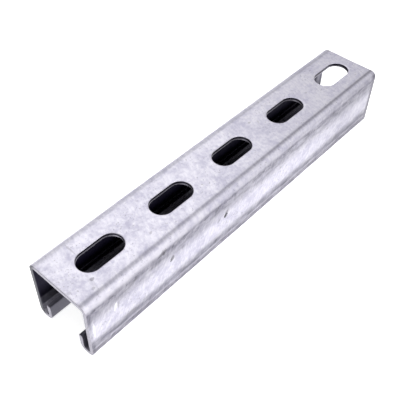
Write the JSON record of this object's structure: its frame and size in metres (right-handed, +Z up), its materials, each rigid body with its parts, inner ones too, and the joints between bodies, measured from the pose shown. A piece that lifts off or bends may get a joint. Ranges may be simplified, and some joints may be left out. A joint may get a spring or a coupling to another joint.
{
  "type": "slotted strut channel",
  "caption": "Cut length of galvanised C-section strut channel with inturned lips and a row of punched slots in its web, for bolting up supports.",
  "frame": {"origin": "middle of the channel's underside, on the surface that it rests on", "axes": "+X along the channel to the end nearer its last slot, +Y across it, +Z up through the slotted web"},
  "size_m": [0.25, 0.0412, 0.0413],
  "materials": {
    "galvanised_steel": "bright zinc, cloudy, with scratches"
  },
  "bodies": {
    "root": {"strut_channel": "galvanised_steel"}
  },
  "joints": []
}
